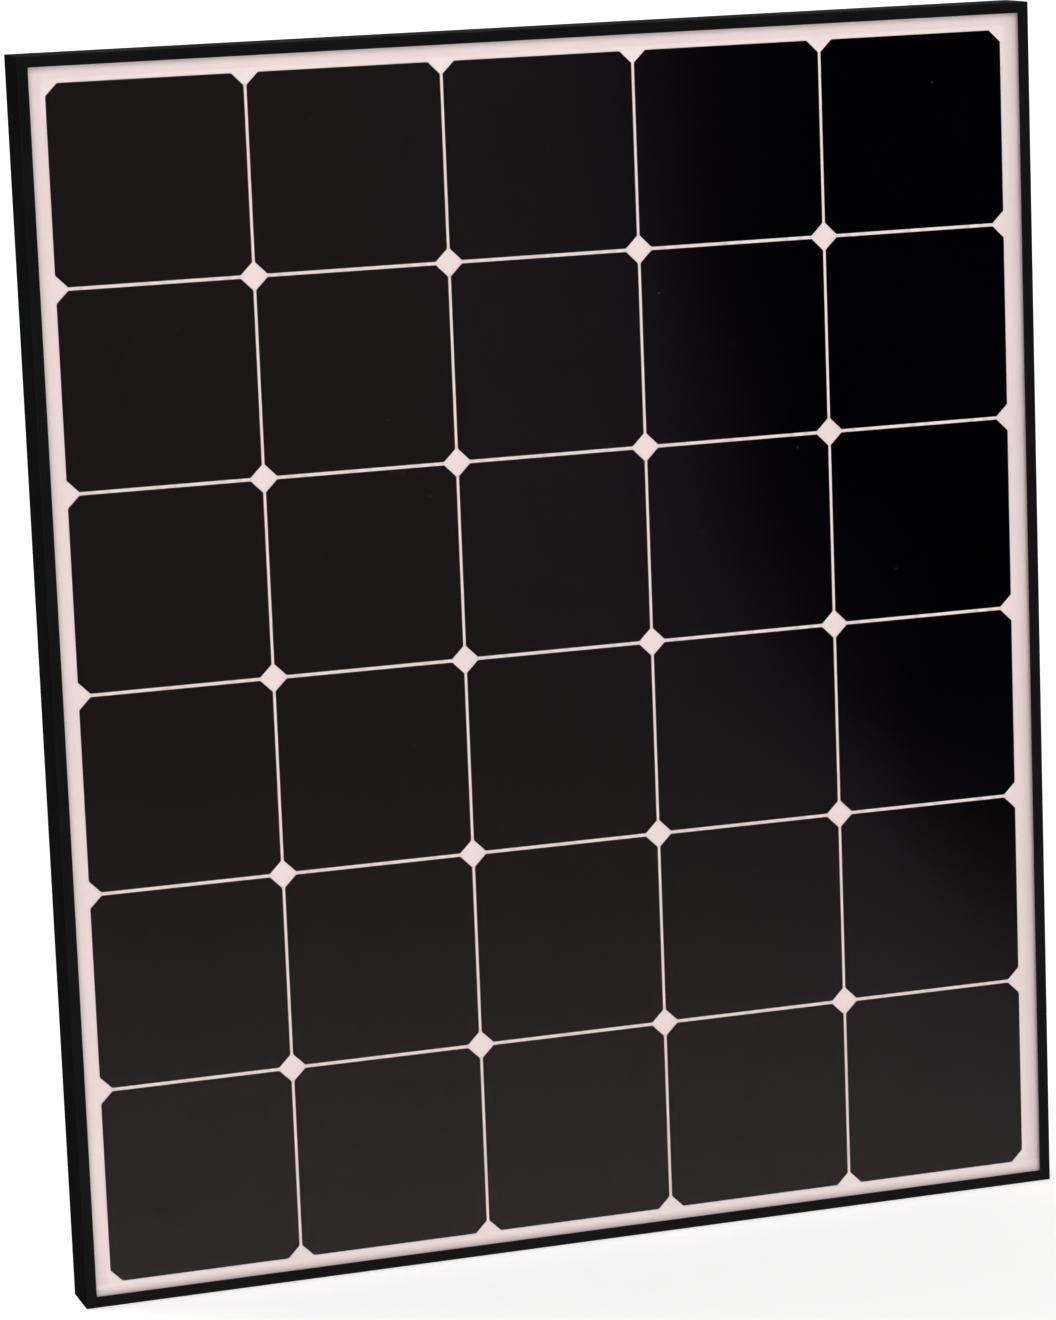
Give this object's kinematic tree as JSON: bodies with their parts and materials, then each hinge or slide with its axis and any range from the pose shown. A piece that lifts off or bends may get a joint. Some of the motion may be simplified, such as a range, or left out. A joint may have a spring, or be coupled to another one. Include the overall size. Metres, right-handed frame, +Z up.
{
  "type": "solar panel",
  "caption": "Framed photovoltaic panel of back-contact cells under glass, with mitred rails, rear mounting flanges and a rear junction box whose lid swings up on a pin hinge.",
  "frame": {"origin": "centre of the four mounting holes, on the plane of the rear flanges", "axes": "+X to the right seen from the glass side, +Y out of the rear, so the glass faces -Y, +Z up the panel"},
  "size_m": [0.668, 0.035, 0.792],
  "materials": {
    "frame_black": "satin",
    "raw_aluminium": "satin",
    "edge_silicone": "satin",
    "solar_glass": "polished",
    "clear_encapsulant": "gloss",
    "silicon": "gloss",
    "tinned_copper": "satin",
    "white_film": "matte",
    "label_film": "satin",
    "box_silicone": "satin",
    "box_plastic": "matte",
    "seal_rubber": "matte",
    "steel": "satin",
    "carrier_plastic": "satin",
    "diode_epoxy": "gloss",
    "gland_plastic": "satin",
    "vent_plastic": "matte"
  },
  "bodies": {
    "module": {"frame_rail_left": "frame_black", "frame_rail_right": "frame_black", "frame_rail_top": "frame_black", "frame_rail_bottom": "frame_black", "corner_key_top_left": "raw_aluminium", "corner_key_top_right": "raw_aluminium", "corner_key_bottom_left": "raw_aluminium", "corner_key_bottom_right": "raw_aluminium", "edge_seal": "edge_silicone", "front_glass": "solar_glass", "front_encapsulant": "clear_encapsulant", "cell_string_1": "silicon", "cell_string_2": "silicon", "cell_string_3": "silicon", "cell_string_4": "silicon", "cell_string_5": "silicon", "cell_interconnects": "tinned_copper", "string_end_tabs": "tinned_copper", "bus_ribbons_top": "tinned_copper", "bus_ribbons_bottom": "tinned_copper", "collector_ribbon_left": "tinned_copper", "collector_ribbon_centre": "tinned_copper", "collector_ribbon_right": "tinned_copper", "ribbon_insulation": "white_film", "cover_strip_top": "white_film", "cover_strip_bottom": "white_film", "rear_encapsulant": "clear_encapsulant", "backsheet": "white_film", "rating_label": "label_film", "lead_left": "tinned_copper", "lead_centre": "tinned_copper", "lead_right": "tinned_copper", "box_adhesive": "box_silicone", "box_base": "box_plastic", "lid_seal": "seal_rubber", "hinge_pin": "steel", "terminal_carrier": "carrier_plastic", "carrier_screws": "steel", "terminal_plate_left": "tinned_copper", "terminal_plate_centre": "tinned_copper", "terminal_plate_right": "tinned_copper", "bypass_diode_left": "diode_epoxy", "bypass_diode_right": "diode_epoxy", "cable_clamps": "steel", "clamp_screws": "steel", "gland_body_left": "gland_plastic", "gland_body_right": "gland_plastic", "gland_insert_left": "seal_rubber", "gland_insert_right": "seal_rubber", "gland_cap_left": "gland_plastic", "gland_cap_right": "gland_plastic", "gland_locknuts": "gland_plastic", "vent_plug": "vent_plastic"},
    "lid": {"box_lid": "box_plastic"}
  },
  "joints": [
    {"name": "lid_hinge", "type": "hinge", "parent": "module", "child": "lid", "pos_m": [0, -0.00743, 0.3612], "axis": [1, 0, 0], "range_deg": [0, 100]}
  ]
}
